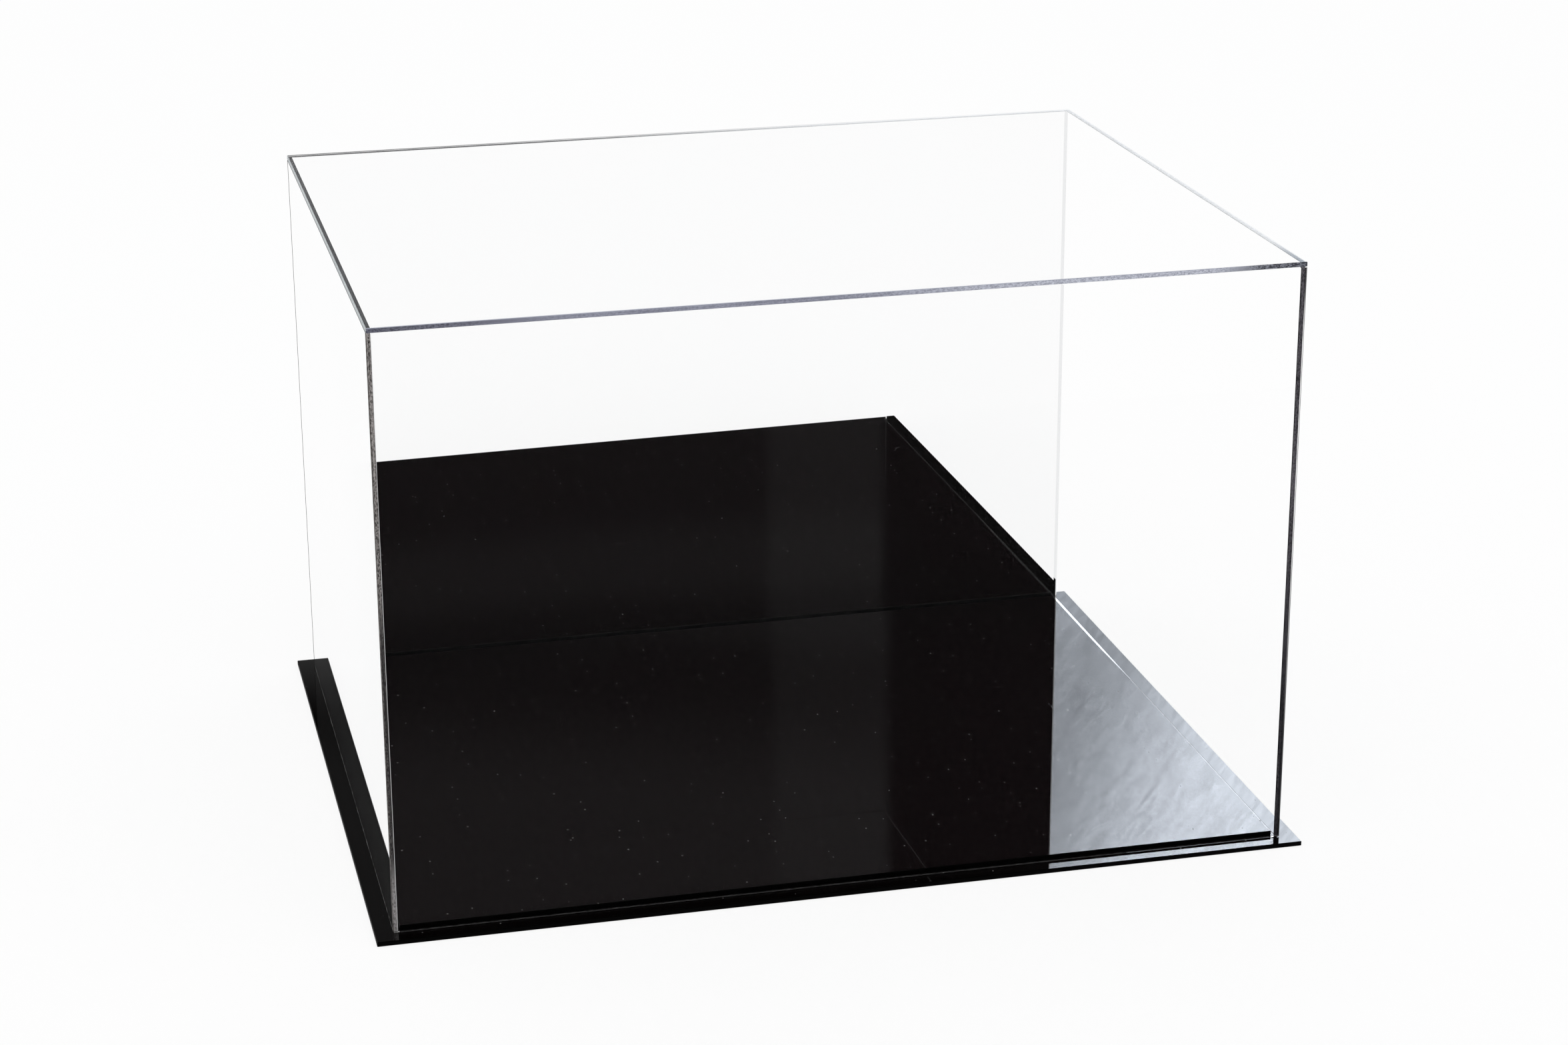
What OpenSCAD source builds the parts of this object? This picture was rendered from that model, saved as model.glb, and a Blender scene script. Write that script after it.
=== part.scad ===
// Acrylic display case: a clear lift-off cover with a mirror back, on a black two-step base.
// Millimetres. +X is to the right and +Y to the back, seen from the front, and +Z is up.
// The origin is the middle of the underside of the base plate.

/* [Cover] */
// Outside width of the cover, left to right
cover_w = 457; // [250:1:700]
// Outside depth of the cover, front to back, with its mirror
cover_d = 360; // [200:1:560]
// Outside height of the cover, from the base plate up
cover_h = 305; // [150:1:500]
// Thickness of the clear front panel
front_t = 2.5; // [2:0.1:5]
// Thickness of each clear side panel
side_t = 2.5; // [2:0.1:5]
// Thickness of the clear top panel
top_t = 2.5; // [2:0.1:5]

/* [Mirror back] */
// Thickness of the clear sheet that the mirror is made from
mirror_t = 2.5; // [2:0.1:5]
// Thickness of the silvered and painted coat on the back of that sheet
coat_t = 0.3; // [0.2:0.05:1]

/* [Base] */
// Lip of the base plate outside the cover, at the left and at the right
side_lip = 9; // [3:0.5:25]
// Lip of the base plate outside the cover, at the front and at the back
end_lip = 8; // [3:0.5:25]
// Thickness of the base plate
base_t = 2.5; // [2:0.1:8]
// Thickness of the raised plate that the cover drops over
raised_t = 2.5; // [2:0.1:8]
// Gap between each edge of the raised plate and the inside of the cover
raised_gap = 1; // [0.5:0.25:5]

/* [Edges] */
// Small bevel along every edge of a sheet, taken off before the sheets are cemented
edge_ease = 0.3; // [0.1:0.05:0.6]

/* [Hidden] */

// The base plate carries the cover's walls on its lip
base_w = cover_w + 2 * side_lip;
base_d = cover_d + 2 * end_lip;

// The walls reach from the base plate to the underside of the top panel
wall_h = cover_h - top_t;

// Inside of the cover, and where its middle lies from front to back
back_t = mirror_t + coat_t;
inside_w = cover_w - 2 * side_t;
inside_d = cover_d - front_t - back_t;
inside_y = (front_t - back_t) / 2;

// Places of the front panel, the mirror sheet and its coat, from front to back
front_y = (front_t - cover_d) / 2;
mirror_y = cover_d / 2 - coat_t - mirror_t / 2;
coat_y = (cover_d - coat_t) / 2;

// The coat covers the flat back of the mirror's sheet, inside its bevels
coat_w = cover_w - 2 * edge_ease;
coat_h = wall_h - 2 * edge_ease;

// Rectangle with its corners cut off by the edge bevel
module eased_rectangle(width, height) {
    right = width / 2;
    top = height / 2;
    polygon([
        [right, top - edge_ease], [right - edge_ease, top],
        [edge_ease - right, top], [-right, top - edge_ease],
        [-right, edge_ease - top], [edge_ease - right, -top],
        [right - edge_ease, -top], [right, edge_ease - top]
    ]);
}

// One flat sheet with eased edges: its size, the middle of its plan and the height of its underside
module sheet(size, x, y, bottom) {
    translate([x, y, bottom + size.z / 2]) intersection() {
        linear_extrude(size.z, center = true) eased_rectangle(size.x, size.y);
        rotate([90, 0, 0]) linear_extrude(size.y, center = true) eased_rectangle(size.x, size.z);
        rotate([90, 0, 90]) linear_extrude(size.x, center = true) eased_rectangle(size.y, size.z);
    }
}

// Bottom plate, cut larger than the cover so that a lip shows all round
module base_plate() {
    color("#141416") sheet([base_w, base_d, base_t], 0, 0, 0);
}

// Smaller plate bonded on the base plate: it keeps the cover from sliding off
module raised_plate() {
    color("#1c1c1f")
        sheet([inside_w - 2 * raised_gap, inside_d - 2 * raised_gap, raised_t], 0, inside_y, base_t);
}

// Full-width front, cemented over the front edges of the side panels
module front_panel() {
    color("#eef4f6", 0.3) sheet([cover_w, front_t, wall_h], 0, front_y, base_t);
}

// A side panel stands between the front panel and the mirror, on side -1 (left) or 1 (right)
module side_panel(side) {
    color("#e6eef2", 0.3)
        sheet([side_t, inside_d, wall_h], side * (cover_w - side_t) / 2, inside_y, base_t);
}

module left_panel() side_panel(-1);

module right_panel() side_panel(1);

// Top, cemented over the upper edges of all four walls
module top_panel() {
    color("#f2f6f8", 0.3) sheet([cover_w, cover_d, top_t], 0, 0, base_t + wall_h);
}

// Clear sheet of the mirror back, cemented over the back edges of the side panels
module mirror_sheet() {
    color("#dfe6ea", 0.5) sheet([cover_w, mirror_t, wall_h], 0, mirror_y, base_t);
}

// Silvering and its grey protective paint, too thin to have bevels of its own
module mirror_coat() {
    color("#8f9499")
        translate([0, coat_y, base_t + wall_h / 2]) cube([coat_w, coat_t, coat_h], center = true);
}

base_plate();
raised_plate();
front_panel();
left_panel();
right_panel();
top_panel();
mirror_sheet();
mirror_coat();
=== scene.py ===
"""Acrylic display case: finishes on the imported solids, with a white studio, a floor and the camera."""

import bpy
from mathutils import Matrix, Vector


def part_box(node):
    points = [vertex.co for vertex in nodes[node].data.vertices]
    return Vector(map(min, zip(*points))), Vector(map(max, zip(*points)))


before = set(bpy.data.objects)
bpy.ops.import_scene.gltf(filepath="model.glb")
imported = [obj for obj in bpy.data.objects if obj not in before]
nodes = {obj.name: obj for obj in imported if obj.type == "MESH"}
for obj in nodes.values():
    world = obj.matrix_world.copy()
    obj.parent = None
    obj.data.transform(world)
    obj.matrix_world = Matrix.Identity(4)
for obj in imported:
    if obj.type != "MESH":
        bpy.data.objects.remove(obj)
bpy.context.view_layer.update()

# Image of the photograph, in pixels
IMAGE_WIDTH = 2352
IMAGE_HEIGHT = 1568

# Sheets that light passes through, each with the way that its inner face looks
CLEAR_SHEETS = {
    "front_panel": "+Y",
    "left_panel": "+X",
    "right_panel": "-X",
    "top_panel": "-Z",
    "mirror_sheet": "-Y",
}
ACRYLIC_IOR = 1.49
# Each clear sheet is drawn this much smaller, so that cemented sheets share no face
CEMENT_GAP = 0.00004
# Faces that meet at more than this angle, in radians, have a crisp edge between them
CRISP_ANGLE = 0.1

# Places in the case's own frame, in metres
FRONT_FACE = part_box("front_panel")[0][1]
WALL_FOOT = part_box("front_panel")[0][2]
RAISED_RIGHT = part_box("raised_plate")[1][0]
# Bevel along every edge of a sheet
EDGE_EASE = 0.0003

# How far a face looks to a side: a flat face, an edge with its bevels, and one bevel between two sides
FLAT = 0.9
EDGE = 0.6
BEVEL = 0.5

# Below, a noise is its cycles in a metre, detail, roughness and distortion. A scale is the cycles in a
# metre on each axis, for a noise that has 1. A fade is where something is 0 and where it is 1.

# Black plates: the colour of the sheet, and the grey of its sawn edge
BLACK_PLATES = {
    "base_plate": ((0.0008, 0.0005, 0.0005), 0.0008),
    "raised_plate": ((0.0018, 0.0008, 0.0010), 0.0015),
}
# Dust on the black plates: cells in a metre, the largest speck in parts of a cell, and its grey
DUST_CELLS = 80.0
DUST_SPECK = 0.034
DUST_GREY = 0.16
# Lint on them: its fibres and half their width in the noise, the few patches that have any, and its
# share of the dust's grey
LINT_FIBRES = (45.0, 1.0, 0.5, 1.5)
LINT_WIDTH = 0.003
LINT_PATCHES = (90.0, 0.0)
LINT_FEW = 0.7
LINT_SHARE = 0.12
# Hairlines, which lie at this turn in radians, and handling marks
HAIRLINE_SCALE = (900.0, 9.0, 1.0)
HAIRLINE_NOISE = (1.0, 1.0)
HAIRLINE_TURN = 0.5
HAIRLINE_FADE = (0.74, 0.78)
HANDLING_NOISE = (14.0, 4.0, 0.6)
HANDLING_FADE = (0.5, 0.8)
# Roughness of the clean gloss, and what handling, hairlines and dust add to it
BLACK_ROUGH = 0.008
HANDLING_ROUGH = 0.02
HAIRLINE_ROUGH = 0.1
DUST_ROUGH = 0.6
# Sawn edges of the black plates: their grain, the dark share of their grey, roughness and gloss
BLACK_SAW_SCALE = (1500.0, 1500.0, 40.0)
BLACK_SAW_NOISE = (1.0, 2.0)
BLACK_SAW_DARK = 0.2
BLACK_SAW_ROUGH = 0.3
BLACK_SAW_ROUGH_MORE = 0.2
BLACK_SAW_GLOSS = 0.02
# Grey of the raised plate's back edge, which the mirror shows: painted light, far lighter than the
# plate's other sawn edges, since little light reaches it in the gap before the mirror
BACK_EDGE_PAINTED_LIGHT = 0.025
# The raised plate's right edge is rounded and polished, wider and brighter towards the back; the light
# grey of that strip is a painted highlight line, while its mirror gloss reflects.
ROUNDED_WIDTH = 0.0004
ROUNDED_MORE = 0.0010
ROUNDED_SPAN = ("Y", 0.02, 0.11)
HIGHLIGHT_STRIP_GREY = 0.05
ROUNDED_SHINE = 0.05
ROUNDED_SHINE_MORE = 0.75
ROUNDED_MIRROR = 0.95
ROUNDED_ROUGH = 0.02

# Tones of the clear sheets' sawn edges: the dark and the light of their streaks. Their levels are painted
# light and shade, set for each edge by the reflections and backlight that it shows.
# The joint's dark tone is painted shade, for the little light that reaches that edge
PAINTED_SHADE_JOINT = ((0.065, 0.065, 0.067), (0.17, 0.17, 0.175))
WARM_STREAKS = ((0.015, 0.013, 0.012), (0.46, 0.43, 0.42))
WARM_END = ((0.03, 0.026, 0.025), (0.24, 0.22, 0.21))
PLUM_GREY = ((0.03, 0.028, 0.033), (0.20, 0.185, 0.21))
BLUE_GREY = ((0.19, 0.195, 0.245), (0.34, 0.35, 0.43))
GREY_CUT = ((0.17, 0.17, 0.175), (0.30, 0.30, 0.305))
SLATE_CUT = ((0.006, 0.006, 0.006), (0.03, 0.03, 0.031))
PALE_CUT = ((0.86, 0.885, 0.91), (0.96, 0.97, 0.98))
SATIN_CUT = ((0.42, 0.45, 0.46), (0.66, 0.69, 0.70))
# The tone of each edge, by the side that it faces: the dark tones are painted shade and the pale ones
# painted light. An edge without a tone is clear.
EDGE_TONES = {
    "front_panel": {"-X": WARM_END, "+X": SATIN_CUT},
    "left_panel": {"+Z": PAINTED_SHADE_JOINT, "-Y": WARM_STREAKS},
    "right_panel": {"+Z": PALE_CUT, "-Y": PLUM_GREY},
    "top_panel": {"-Y": BLUE_GREY, "+Y": SATIN_CUT, "-X": SATIN_CUT, "+X": PALE_CUT},
    "mirror_sheet": {"+Z": GREY_CUT, "-X": SLATE_CUT, "+X": SATIN_CUT},
}
# Painted light and shade on parts of those edges, lighter or darker for the reflections along them: the
# sides that they face, the span over which the tone comes in, its share and its colour
LOCAL_PAINTED_LIGHT_AND_SHADE = {
    "front_panel": [(("+X", "-Y"), None, 1.0, (0.13, 0.13, 0.135))],
    "left_panel": [
        (("-Y",), ("Z", 0.185, 0.15), 0.75, (0.024, 0.022, 0.023)),
        (("-Y",), ("Z", 0.045, 0.02), 0.45, (0.50, 0.48, 0.48)),
        (("-Y", "+X"), None, 1.0, (0.80, 0.80, 0.80)),
        (("+Z",), ("Y", -0.02, 0.17), 0.6, (0.20, 0.20, 0.205)),
    ],
    "right_panel": [
        (("-Y",), ("Z", 0.20, 0.07), 0.65, (0.016, 0.015, 0.018)),
        (("-Y", "-X"), None, 1.0, (0.006, 0.006, 0.007)),
        (("-Y", "+X"), None, 1.0, (0.02, 0.02, 0.022)),
        (("+Z",), ("Y", -0.13, -0.175), 1.0, (0.48, 0.52, 0.57)),
    ],
    "top_panel": [
        (("-Y",), ("X", -0.12, -0.22), 0.8, (0.075, 0.075, 0.10)),
        (("-Y",), ("X", -0.03, 0.10), 0.6, (0.60, 0.62, 0.70)),
        (("-Y",), ("X", 0.175, 0.222), 0.95, (0.045, 0.047, 0.058)),
        (("-Y", "+Z"), ("X", 0.21, 0.16), 1.0, (0.40, 0.42, 0.49)),
    ],
    "mirror_sheet": [(("+Z",), ("X", -0.12, 0.12), 1.0, (0.90, 0.92, 0.94))],
}
# Edges that look frosted from within the sheet, with what they pass tinted dark as painted shade and pale
# as painted light: the side that they face, the span over which the frost comes in, and what it passes
FROST_WITH_PAINTED_TINTS = {
    "front_panel": [
        ("+X", ("Y", FRONT_FACE + 0.0019, FRONT_FACE + 0.0013), (0.28, 0.28, 0.29)),
        ("+X", ("Z", 0.20, 0.05), (0.06, 0.06, 0.063)),
        ("+X", ("Z", 0.265, 0.30), (0.08, 0.08, 0.083)),
    ],
    "left_panel": [("+Y", None, (0.12, 0.12, 0.12))],
    "right_panel": [("+Y", None, (0.86, 0.865, 0.87))],
    "top_panel": [
        ("+X", None, (0.95, 0.96, 0.97)),
        ("+Y", None, (0.22, 0.22, 0.225)),
        ("+Y", ("X", -0.24, 0.18), (0.93, 0.94, 0.95)),
    ],
    "mirror_sheet": [],
}
# Grain of a sawn edge: its scale through the sheet, across the edge and along it, its noise and its fade
LONG_STREAKS = ((1500.0, 400.0, 18.0), (1.0, 3.0, 0.6, 0.4), (0.40, 0.66))
SAW_MARKS = ((1600.0, 400.0, 700.0), (1.0, 2.0, 0.7, 0.6), (0.43, 0.57))
SAW_MARK_SHARE = 0.55
# The saw marks also break up those patches of painted light and shade that don't cover their edge, down
# to this share
LOCAL_LEAST = 0.5
# Roughness and gloss of the sawn edges
SATIN_ROUGH = 0.6
SATIN_GLOSS = 0.05
# Where a wall's bottom edge is polished, if not all along, and how polished it is elsewhere
POLISHED_FOOT = {"right_panel": ("Y", -0.05, 0.07)}
RESTING_FOOT = 0.12
# Dull scuffs along the foot of a wall: the side that they are on, their height and their greatest share
FOOT_SCUFFS = {"front_panel": ("-Y", 0.0009, 0.07), "left_panel": ("-X", 0.0006, 0.9)}
SCUFF_NOISE = (300.0, 3.0, 0.6)
SCUFF_FADE = (0.3, 0.7)
# Share of dust and handling marks on the outside of each sheet, how they vary, and their grey
DUST_FILM = {
    "front_panel": 0.0004,
    "left_panel": 0.012,
    "right_panel": 0.002,
    "top_panel": 0.004,
    "mirror_sheet": 0.001,
}
FILM_NOISE = (35.0, 4.0, 0.65)
FILM_LEAST = 0.4
FILM_MORE = 1.2
FILM_GREY = 0.8
# Polished faces mirror a little of what real acrylic does, and all of it where that passes these shares
FACE_SHINE = 0.012
FULL_SHINE = (0.3, 0.6)

# The mirror is bowed and twisted a little: its picture turns to the left, and upwards more at the right
MIRROR_TURN = 0.0102
MIRROR_TILT = -0.0034
MIRROR_TWIST = -0.0136
SILVER = 0.98
# Paint on its back: the dark and the light of its stipple and mottle, and its roughness
BACK_PAINT = (0.25, 0.32)
PAINT_MOTTLE = (25.0, 2.0)
PAINT_STIPPLE = (700.0, 3.0, 0.6)
STIPPLE_SHARE = 0.7
PAINT_ROUGH = 0.45
PAINT_ROUGH_MORE = 0.2

# Directions in the studio are their three parts, or an angle round the case in radians from its back
# or from its front. The white surroundings end at a height that is lower in front.
WHITE_LEVEL = 0.98
WHITE_TILT = 0.13
WHITE_END = (0.27, 0.175)
# Window behind at the right: the fades of its sides, foot and head, and its level from left to right
WINDOW_SIDES = ((0.20, 0.32), (1.2, 0.9))
WINDOW_HEIGHT = ((0.30, 0.34), (0.8, 0.6))
WINDOW_LEVEL = 2.0
WINDOW_MORE = 3.9
WINDOW_LEAN = 0.5
WINDOW_CLIMB = (0.5225, 0.5965)
WINDOW_TINT = (0.84, 0.905, 1.0, 1.0)
# Its soft wisps: the slant across and along them, how many there are each way, and their least level
WISP_SLANT = (0.77, 0.64)
WISPS_ACROSS = 420.0
WISPS_ALONG = 110.0
WISP_NOISE = (1.0, 6.0, 0.65, 1.0)
WISP_LEAST = 0.5
# Dim room in front: its ceiling, the near part of its wall, a panel and a strip on that, and their levels
CEILING_SLOPE = 0.11
CEILING_END = (0.4580, 0.4567)
NEAR_PART = (0.298, 0.292)
DIM_PANEL = (0.254, 0.260)
DIM_STRIP = ((0.333, 0.347), (0.366, 0.354))
HIGH_WALL = (0.372, 0.410)
ROOM_LEVEL = 0.003
WALL_LEVEL = 0.010
NEAR_LEVEL = 0.006
STRIP_LEVEL = 0.016
HIGH_LEVEL = 0.036
PANEL_LEVEL = 0.020
# Soft light from both sides and from above, in the gloss alone
SOFT_SIDES = (0.38, 0.85)
SOFT_SIDES_HEIGHT = ((0.2, 0.5), (1.0, 0.6))
SOFT_SIDES_LEVEL = 0.9
SOFT_TOP = (0.72, 0.98)
SOFT_TOP_LEVEL = 0.5
# Plain level of all the surroundings where they light the case
PLAIN_LEVEL = 0.92

# Floor: half its width, how far it lies under the case, its grey, and the share that shows as plain white
FLOOR_HALF = 12.0
FLOOR_DROP = 0.0002
FLOOR_GREY = 0.97
FLOOR_WHITE = 0.85

# Softbox over the case: its width, power, place and aim
SOFTBOX_WIDTH = 1.8
SOFTBOX_POWER = 5.0
SOFTBOX_PLACE = (0.2, -0.5, 2.4)
SOFTBOX_AIM = Vector((0.0, 0.0, 0.1))

# Camera: its focal length and the middle of its picture in pixels, its place, and the ways of its frame
FOCAL_LENGTH = 4894.9
PICTURE_MIDDLE = (1076.2, 727.1)
SENSOR_WIDTH = 36.0
CAMERA_PLACE = (-0.38404, -1.60876, 0.71663)
CAMERA_RIGHT = Vector((0.97520, -0.22109, -0.00998))
CAMERA_UP = Vector((0.08043, 0.31206, 0.94665))
CAMERA_BACK = Vector((-0.20618, -0.92398, 0.32211))

# Light goes through many faces before it leaves the case
LIGHT_BOUNCES = 48
CLEAR_BOUNCES = 24


class Value:
    """The output of a node, for use in expressions: each operation on it adds a Math node."""

    def __init__(self, tree, socket):
        self.tree = tree
        self.socket = socket

    def math(self, operation, first, second=0.0):
        return self.tree.add("ShaderNodeMath", {"operation": operation}, {0: first, 1: second})

    def __add__(self, other):
        return self.math("ADD", self, other)

    def __sub__(self, other):
        return self.math("SUBTRACT", self, other)

    def __mul__(self, other):
        return self.math("MULTIPLY", self, other)

    def __rsub__(self, other):
        return self.math("SUBTRACT", other, self)

    def __gt__(self, other):
        return self.math("GREATER_THAN", self, other)

    def __lt__(self, other):
        return self.math("LESS_THAN", self, other)

    def __abs__(self):
        return self.math("ABSOLUTE", self)

    __radd__ = __add__
    __rmul__ = __mul__

    def highest(self, other):
        return self.math("MAXIMUM", self, other)

    def ramp(self, low, high):
        """Goes smoothly from 0 at low to 1 at high; low may be the larger number."""
        if low > high:
            return 1 - self.ramp(high, low)
        return self.tree.add(
            "ShaderNodeMapRange",
            {"interpolation_type": "SMOOTHSTEP", "clamp": True},
            {"Value": self, "From Min": low, "From Max": high},
        )


class Tree:
    """The node tree of a material or of the world."""

    def __init__(self, owner):
        owner.use_nodes = True
        self.tree = owner.node_tree
        self.tree.nodes.clear()

    def add(self, kind, settings=None, inputs=None, output=0):
        """Adds a node: its settings first, then the values or links of its sockets."""
        node = self.tree.nodes.new(kind)
        for name, setting in (settings or {}).items():
            setattr(node, name, setting)
        for name, value in (inputs or {}).items():
            if isinstance(value, Value):
                self.tree.links.new(value.socket, node.inputs[name])
            else:
                node.inputs[name].default_value = value
        return Value(self, node.outputs[output])

    def other_output(self, value, name):
        """Another output of the node that a value comes from."""
        return Value(self, value.socket.node.outputs[name])

    def place(self):
        """Where a point lies in the case's own frame, in metres."""
        return self.add("ShaderNodeTexCoord", output="Object")

    def facing(self):
        """The three parts of the way that the surface looks, outwards, in the case's own frame."""
        towards_ray = self.parts(self.add("ShaderNodeTexCoord", output="Normal"))
        outwards = 1 - 2 * self.within()
        return {axis: part * outwards for axis, part in towards_ray.items()}

    def within(self):
        """1 where the ray is inside the solid, and 0 outside it."""
        return self.add("ShaderNodeNewGeometry", output="Backfacing")

    def parts(self, vector):
        split = self.add("ShaderNodeSeparateXYZ", inputs={"Vector": vector})
        return {axis: self.other_output(split, axis) for axis in "XYZ"}

    def angle(self, first, second):
        return self.add("ShaderNodeMath", {"operation": "ARCTAN2"}, {0: first, 1: second})

    def stretched(self, vector, scale, turn=0.0):
        return self.add(
            "ShaderNodeMapping",
            inputs={"Vector": vector, "Scale": scale, "Rotation": (0.0, 0.0, turn)},
        )

    def vector(self, **parts):
        return self.add("ShaderNodeCombineXYZ", inputs=parts)

    def noise(self, vector, scale, detail=2.0, roughness=0.5, distortion=0.0):
        inputs = {"Vector": vector, "Scale": scale, "Detail": detail, "Roughness": roughness}
        return self.add("ShaderNodeTexNoise", inputs=inputs | {"Distortion": distortion})

    def blend(self, factor, first, second):
        """A colour between two others."""
        return self.add(
            "ShaderNodeMix",
            {"data_type": "RGBA"},
            {0: factor, 6: first, 7: second},
            output=2,
        )

    def surface(self, **sockets):
        """A Principled shader; each socket is given by its name with low lines for the spaces."""
        inputs = {name.replace("_", " "): value for name, value in sockets.items()}
        return self.add("ShaderNodeBsdfPrincipled", inputs=inputs)

    def see_through(self, colour):
        """What passes light straight on, in a colour."""
        return self.add("ShaderNodeBsdfTransparent", inputs={"Color": colour})

    def mirror(self, colour, roughness):
        return self.add("ShaderNodeBsdfGlossy", inputs={"Color": colour, "Roughness": roughness})

    def mixed(self, factor, first, second):
        """One shader where the factor is 0 and another where it is 1."""
        return self.add("ShaderNodeMixShader", inputs={0: factor, 1: first, 2: second})

    def finish(self, shader, kind="ShaderNodeOutputMaterial"):
        output = self.tree.nodes.new(kind)
        self.tree.links.new(shader.socket, output.inputs["Surface"])


def grey(level):
    return (level, level, level, 1.0)


def solid(colour):
    return colour + (1.0,)


def towards(facing, side):
    """How far a surface looks to a side such as +X: 1 is straight that way."""
    return facing[side[1]] if side[0] == "+" else 0 - facing[side[1]]


def within_span(spot, span):
    """How far a point is along a span of one axis, from 0 at its start to 1 at its end."""
    if span is None:
        return 1.0
    axis, start, end = span
    return spot[axis].ramp(start, end)


def black_acrylic(plate):
    """Cast black sheet: a deep gloss with a little dust, lint and hairlines, and dull sawn edges.

    The raised plate also has a polished right edge with a painted highlight strip, and a back edge
    lightened by painted light.
    """
    body, sawn = BLACK_PLATES[plate]
    material = bpy.data.materials.new(plate + "_black")
    tree = Tree(material)
    place = tree.place()
    facing = tree.facing()

    flat = {"voronoi_dimensions": "2D"}
    cells = tree.add("ShaderNodeTexVoronoi", flat, {"Vector": place, "Scale": DUST_CELLS})
    chance = tree.parts(tree.other_output(cells, "Color"))["X"]
    dust = cells < DUST_SPECK * chance * chance
    fibres = tree.noise(place, *LINT_FIBRES)
    few = tree.noise(place, *LINT_PATCHES) > LINT_FEW
    lint = (abs(fibres - 0.5) < LINT_WIDTH) * few
    specks = dust.highest(lint * LINT_SHARE)
    colour = tree.blend(specks, solid(body), grey(DUST_GREY))

    turned = tree.stretched(place, HAIRLINE_SCALE, HAIRLINE_TURN)
    hairline = tree.noise(turned, *HAIRLINE_NOISE).ramp(*HAIRLINE_FADE)
    handling = tree.noise(place, *HANDLING_NOISE).ramp(*HANDLING_FADE)
    roughness = BLACK_ROUGH + HANDLING_ROUGH * handling + HAIRLINE_ROUGH * hairline + DUST_ROUGH * dust

    saw = tree.noise(tree.stretched(place, BLACK_SAW_SCALE), *BLACK_SAW_NOISE)
    cut = tree.blend(saw, grey(BLACK_SAW_DARK * sawn), grey(sawn))

    if plate == "raised_plate":
        spot = tree.parts(place)
        to_back = within_span(spot, ROUNDED_SPAN)
        # Strip along the right edge: its light grey is a painted highlight, its mirror gloss is real
        highlight_strip = spot["X"] + ROUNDED_MORE * to_back > RAISED_RIGHT - EDGE_EASE - ROUNDED_WIDTH
        colour = tree.blend(highlight_strip, colour, grey(HIGHLIGHT_STRIP_GREY))
        # Painted light: the back edge is made lighter than the other sawn edges
        cut = tree.blend(facing["Y"] > EDGE, cut, grey(BACK_EDGE_PAINTED_LIGHT))

    gloss = tree.surface(Base_Color=colour, Roughness=roughness, IOR=ACRYLIC_IOR)
    if plate == "raised_plate":
        polish = highlight_strip * (ROUNDED_SHINE + ROUNDED_SHINE_MORE * to_back)
        gloss = tree.mixed(polish, gloss, tree.mirror(grey(ROUNDED_MIRROR), ROUNDED_ROUGH))
    edge = tree.surface(
        Base_Color=cut,
        Roughness=BLACK_SAW_ROUGH + BLACK_SAW_ROUGH_MORE * saw,
        IOR=ACRYLIC_IOR,
        Specular_IOR_Level=BLACK_SAW_GLOSS,
    )
    tree.finish(tree.mixed(facing["Z"] > FLAT, edge, gloss))
    return material


def grain(tree, place, order, kind):
    """One grain of a sawn edge, with the axes through its sheet, across it and along it in that order."""
    scale, noise, fade = kind
    by_axis = dict(zip(order, scale))
    stretched = tree.stretched(place, [by_axis[axis] for axis in "XYZ"])
    return tree.noise(stretched, *noise).ramp(*fade)


def edge_grain(tree, sheet, place):
    """Short saw marks, and these mixed with long streaks, for each axis that an edge may face."""
    thin_axis = CLEAR_SHEETS[sheet][1]
    flat_axes = [axis for axis in "XYZ" if axis != thin_axis]
    flecks = {}
    streaks = {}
    for axis, run_axis in (flat_axes, flat_axes[::-1]):
        order = (thin_axis, axis, run_axis)
        lengthwise = grain(tree, place, order, LONG_STREAKS)
        flecks[axis] = grain(tree, place, order, SAW_MARKS)
        streaks[axis] = (1 - SAW_MARK_SHARE) * lengthwise + SAW_MARK_SHARE * flecks[axis]
    return flecks, streaks


def cut_edge(tree, sheet, place, facing):
    """Colour of a sheet's sawn edges with their painted light and shade, scuffs and dust, and the share
    of the surface that they cover.
    """
    spot = tree.parts(place)
    flecks, streaks = edge_grain(tree, sheet, place)

    marks = FILM_LEAST + FILM_MORE * tree.noise(place, *FILM_NOISE)
    outside = 0 - towards(facing, CLEAR_SHEETS[sheet]) > FLAT
    colour = grey(FILM_GREY)
    share = outside * DUST_FILM[sheet] * marks
    # Each edge's tone paints light and shade over its grain
    for side, (dark, light) in EDGE_TONES[sheet].items():
        here = towards(facing, side) > EDGE
        tone = tree.blend(streaks[side[1]], solid(dark), solid(light))
        colour = tree.blend(here, colour, tone)
        share = here.highest(share)
    # Patches of painted light and shade along the edges
    for sides, span, amount, tone in LOCAL_PAINTED_LIGHT_AND_SHADE[sheet]:
        here = within_span(spot, span) * amount
        if amount < 1:
            here = here * (LOCAL_LEAST + flecks[sides[0][1]])
        for side in sides:
            here = (towards(facing, side) > BEVEL) * here
        colour = tree.blend(here, colour, solid(tone))
    if sheet in FOOT_SCUFFS:
        side, height, amount = FOOT_SCUFFS[sheet]
        worn = tree.noise(place, *SCUFF_NOISE).ramp(*SCUFF_FADE)
        foot = (towards(facing, side) > FLAT) * (spot["Z"] < WALL_FOOT + height)
        share = share.highest(foot * worn * amount)
    return colour, share


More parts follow.
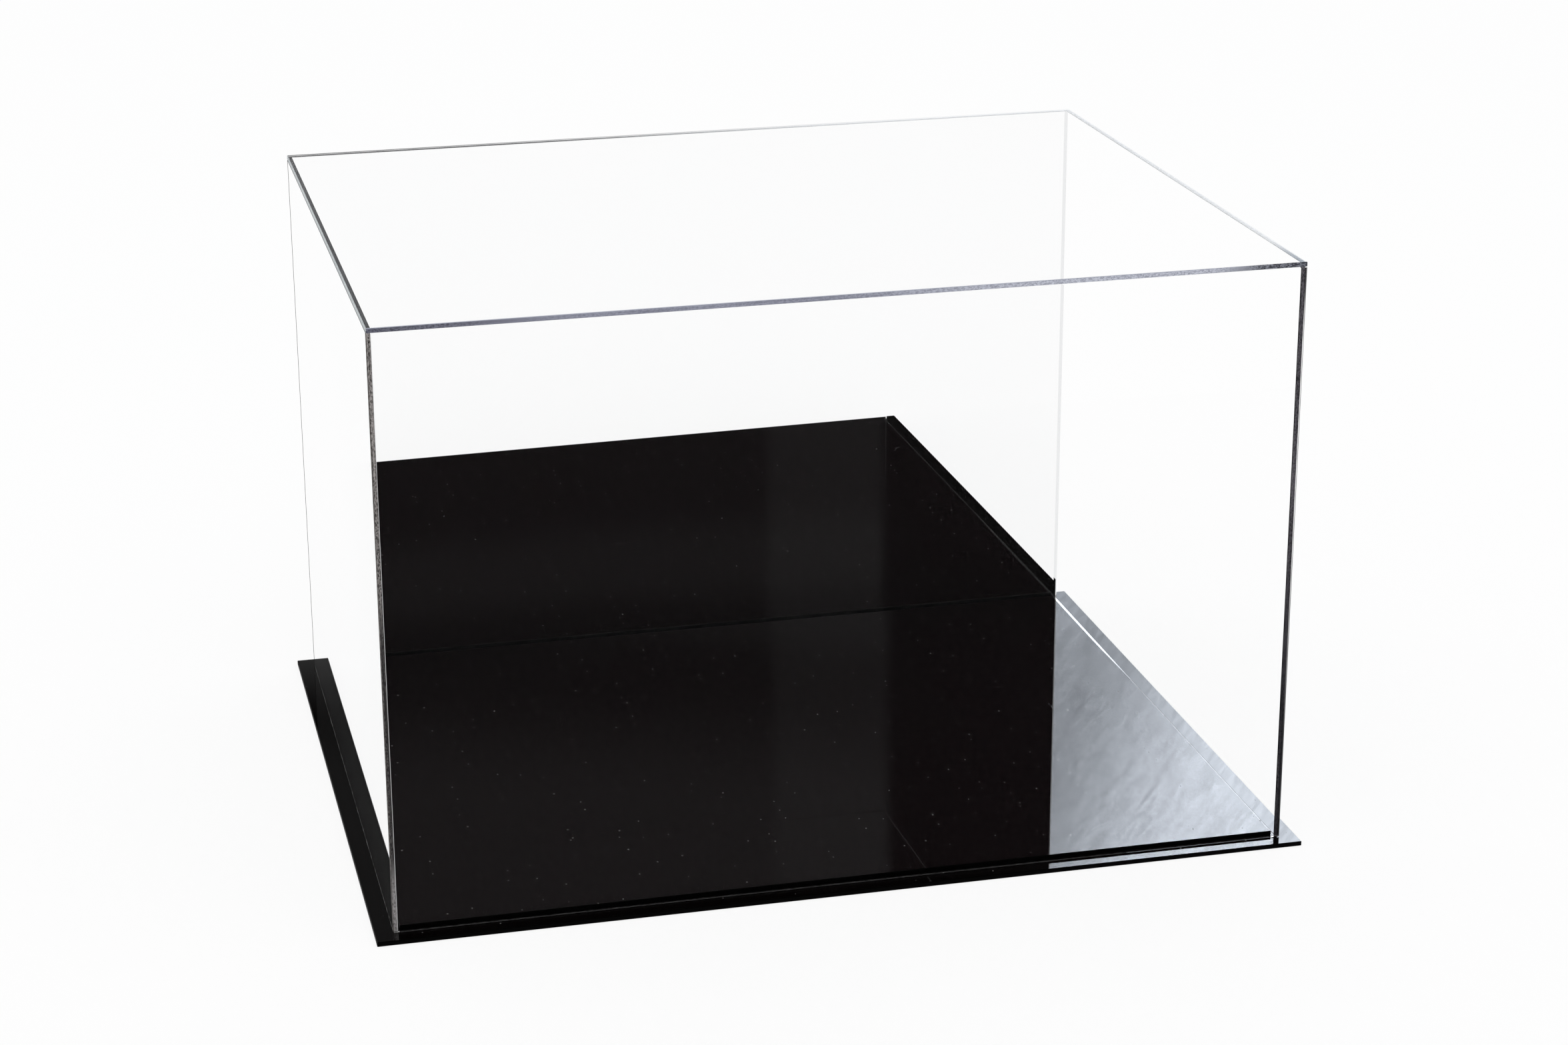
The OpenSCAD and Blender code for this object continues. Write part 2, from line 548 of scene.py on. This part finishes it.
def clear_acrylic(sheet):
    """Clear sheet: polished faces that mirror only at a glancing look, and satin sawn edges that hold
    painted light and shade.
    """
    material = bpy.data.materials.new(sheet + "_clear")
    tree = Tree(material)
    place = tree.place()
    facing = tree.facing()
    spot = tree.parts(place)
    within = tree.within()

    fresnel = tree.add("ShaderNodeFresnel", inputs={"IOR": ACRYLIC_IOR})
    shine = FACE_SHINE * fresnel + (1 - FACE_SHINE) * fresnel.ramp(*FULL_SHINE)
    through = tree.add(
        "ShaderNodeBsdfRefraction",
        inputs={"Color": grey(1.0), "Roughness": 0.0, "IOR": ACRYLIC_IOR},
    )
    face = tree.mixed(shine, through, tree.mirror(grey(1.0), 0.0))

    cemented = tree.see_through(grey(1.0))
    polished = abs(towards(facing, CLEAR_SHEETS[sheet])) > FLAT
    foot_polish = RESTING_FOOT + (1 - RESTING_FOOT) * within_span(spot, POLISHED_FOOT.get(sheet))
    foot = (facing["Z"] < -FLAT) * foot_polish
    clear = tree.mixed(polished.highest(foot), cemented, face)
    # Frosted edges pass a tint, dark where it paints shade and pale where it paints light
    for side, span, passed in FROST_WITH_PAINTED_TINTS[sheet]:
        frost_with_painted_tint = (towards(facing, side) > EDGE) * within_span(spot, span)
        clear = tree.mixed(frost_with_painted_tint, clear, tree.see_through(solid(passed)))

    # Light that came in through an edge leaves the sheet straight
    by_edge = tree.add("ShaderNodeLightPath", output="Transparent Depth") > 0.5
    clear = tree.mixed(by_edge * within, clear, cemented)

    colour, share = cut_edge(tree, sheet, place, facing)
    satin = tree.surface(
        Base_Color=colour,
        Roughness=SATIN_ROUGH,
        IOR=ACRYLIC_IOR,
        Specular_IOR_Level=SATIN_GLOSS,
    )
    tree.finish(tree.mixed(share * (1 - within), clear, satin))
    return material


def mirror_coat():
    """Silvering towards the case, grey protective paint behind it."""
    material = bpy.data.materials.new("mirror_silver_and_paint")
    tree = Tree(material)
    place = tree.place()
    facing = tree.facing()

    straight = tree.add("ShaderNodeNewGeometry", output="Normal")
    tilt = MIRROR_TILT + MIRROR_TWIST * tree.parts(place)["X"]
    lean = tree.vector(X=MIRROR_TURN, Z=tilt)
    leaning = tree.add("ShaderNodeVectorMath", {"operation": "ADD"}, {0: straight, 1: lean})
    silver = tree.surface(Base_Color=grey(SILVER), Metallic=1.0, Roughness=0.0, Normal=leaning)

    mottle = tree.noise(place, *PAINT_MOTTLE)
    stipple = tree.noise(place, *PAINT_STIPPLE)
    uneven = (1 - STIPPLE_SHARE) * mottle + STIPPLE_SHARE * stipple
    dark, light = BACK_PAINT
    paint = tree.surface(
        Base_Color=tree.blend(uneven, grey(dark), grey(light)),
        Roughness=PAINT_ROUGH + PAINT_ROUGH_MORE * stipple,
    )
    tree.finish(tree.mixed(facing["Y"] < -BEVEL, paint, silver))
    return material


def white_floor():
    """Pale floor that shows almost white, and still takes the case's shadow."""
    material = bpy.data.materials.new("floor_white")
    tree = Tree(material)
    seen = tree.add("ShaderNodeLightPath", output="Is Camera Ray")
    glossy = tree.other_output(seen, "Is Glossy Ray")
    transmitted = tree.other_output(seen, "Is Transmission Ray")
    lit = tree.add("ShaderNodeBsdfDiffuse", inputs={"Color": grey(FLOOR_GREY)})
    plain_white = tree.add("ShaderNodeEmission", inputs={"Color": grey(1.0), "Strength": 1.0})
    shown = seen.highest(glossy).highest(transmitted)
    tree.finish(tree.mixed(shown * FLOOR_WHITE, lit, plain_white))
    return material


def back_window(tree, way):
    """Level of the bright window behind at the right, with its soft wisps."""
    side = tree.angle(way["X"], way["Y"])
    slant_across, slant_along = WISP_SLANT
    across = slant_across * side + slant_along * way["Z"]
    along = slant_along * side - slant_across * way["Z"]
    swirl = tree.vector(X=WISPS_ACROSS * across, Y=WISPS_ALONG * along)
    wisps = WISP_LEAST + tree.noise(swirl, *WISP_NOISE)
    opening = 1.0
    for fade in WINDOW_SIDES:
        opening = side.ramp(*fade) * opening
    for fade in WINDOW_HEIGHT:
        opening = way["Z"].ramp(*fade) * opening
    climb = (side + WINDOW_LEAN * way["Z"]).ramp(*WINDOW_CLIMB)
    return opening * (WINDOW_LEVEL + WINDOW_MORE * climb) * wisps


def dim_room(tree, way):
    """Level of the dim room in front, which the black plates show by way of the mirror."""
    side = tree.angle(way["X"], 0 - way["Y"])
    rise, fall = DIM_STRIP
    near_part = side.ramp(*NEAR_PART)
    panel = side.ramp(*DIM_PANEL) * near_part
    strip = way["Z"].ramp(*rise) * way["Z"].ramp(*fall)
    near_wall = NEAR_LEVEL + STRIP_LEVEL * strip + HIGH_LEVEL * way["Z"].ramp(*HIGH_WALL)
    below_ceiling = (way["Z"] + CEILING_SLOPE * side).ramp(*CEILING_END)
    wall = WALL_LEVEL + near_part * (near_wall + PANEL_LEVEL * panel)
    return ROOM_LEVEL + below_ceiling * wall


def studio_world():
    """White surroundings up to a low height, and above them a dark room with a window and soft light."""
    world = bpy.data.worlds.new("studio")
    bpy.context.scene.world = world
    tree = Tree(world)
    way = tree.parts(tree.add("ShaderNodeTexCoord", output="Generated"))

    white = (way["Z"] - WHITE_TILT * way["Y"]).ramp(*WHITE_END)
    window = back_window(tree, way)
    rise, fall = SOFT_SIDES_HEIGHT
    soft_sides = abs(way["X"]).ramp(*SOFT_SIDES) * way["Z"].ramp(*rise) * way["Z"].ramp(*fall)
    soft_light = SOFT_SIDES_LEVEL * soft_sides + SOFT_TOP_LEVEL * way["Z"].ramp(*SOFT_TOP)
    in_gloss = dim_room(tree, way) + WHITE_LEVEL * white + window + soft_light

    camera = tree.add("ShaderNodeLightPath", output="Is Camera Ray")
    glossy = tree.other_output(camera, "Is Glossy Ray")
    transmitted = tree.other_output(camera, "Is Transmission Ray")
    before_lighting = tree.other_output(camera, "Diffuse Depth") < 0.5
    mirrored = glossy.highest(transmitted) * before_lighting
    level = camera + (1 - camera) * (mirrored * in_gloss + (1 - mirrored) * PLAIN_LEVEL)
    colour = tree.blend(window * (1 - camera), grey(1.0), WINDOW_TINT)
    tree.finish(
        tree.add("ShaderNodeBackground", inputs={"Color": colour, "Strength": level}),
        "ShaderNodeOutputWorld",
    )


def overhead_softbox():
    data = bpy.data.lights.new("softbox", "AREA")
    data.shape = "RECTANGLE"
    data.size = SOFTBOX_WIDTH
    data.size_y = SOFTBOX_WIDTH
    data.energy = SOFTBOX_POWER
    lamp = bpy.data.objects.new("softbox", data)
    lamp.location = SOFTBOX_PLACE
    lamp.rotation_euler = (SOFTBOX_AIM - lamp.location).to_track_quat("-Z", "Y").to_euler()
    lamp.visible_camera = False
    lamp.visible_glossy = False
    lamp.visible_transmission = False
    bpy.context.scene.collection.objects.link(lamp)


def floor_plane():
    mesh = bpy.data.meshes.new("floor")
    signs = ((-1, -1), (1, -1), (1, 1), (-1, 1))
    corners = [(x * FLOOR_HALF, y * FLOOR_HALF, 0.0) for x, y in signs]
    mesh.from_pydata(corners, [], [(0, 1, 2, 3)])
    mesh.materials.append(white_floor())
    floor = bpy.data.objects.new("floor", mesh)
    floor.location.z = -FLOOR_DROP
    bpy.context.scene.collection.objects.link(floor)


def photo_camera():
    data = bpy.data.cameras.new("camera")
    camera = bpy.data.objects.new("camera", data)
    bpy.context.scene.collection.objects.link(camera)
    bpy.context.scene.camera = camera
    middle_x, middle_y = PICTURE_MIDDLE
    data.sensor_width = SENSOR_WIDTH
    data.lens = FOCAL_LENGTH / IMAGE_WIDTH * SENSOR_WIDTH
    data.shift_x = (IMAGE_WIDTH / 2 - middle_x) / IMAGE_WIDTH
    data.shift_y = (middle_y - IMAGE_HEIGHT / 2) / IMAGE_WIDTH
    camera.location = CAMERA_PLACE
    ways = Matrix((CAMERA_RIGHT, CAMERA_UP, CAMERA_BACK))
    camera.rotation_euler = ways.transposed().to_euler()


def dress(node, material):
    nodes[node].data.materials.clear()
    nodes[node].data.materials.append(material)


def part_cement(sheet):
    """Draws a clear sheet a little smaller all round, with its faces flat up to their edges."""
    nodes[sheet].visible_shadow = False
    weld = nodes[sheet].modifiers.new("joined_faces", "WELD")
    weld.merge_threshold = CEMENT_GAP / 10
    gap = nodes[sheet].modifiers.new("cement_gap", "DISPLACE")
    gap.strength = -CEMENT_GAP
    gap.mid_level = 0.0
    crisp = nodes[sheet].modifiers.new("crisp_edges", "EDGE_SPLIT")
    crisp.split_angle = CRISP_ANGLE


for plate in BLACK_PLATES:
    dress(plate, black_acrylic(plate))
for sheet in CLEAR_SHEETS:
    dress(sheet, clear_acrylic(sheet))
    part_cement(sheet)
dress("mirror_coat", mirror_coat())

floor_plane()
studio_world()
overhead_softbox()
photo_camera()

scene = bpy.context.scene
scene.view_settings.view_transform = "Standard"
scene.cycles.max_bounces = LIGHT_BOUNCES
scene.cycles.glossy_bounces = LIGHT_BOUNCES
scene.cycles.transmission_bounces = LIGHT_BOUNCES
scene.cycles.transparent_max_bounces = CLEAR_BOUNCES
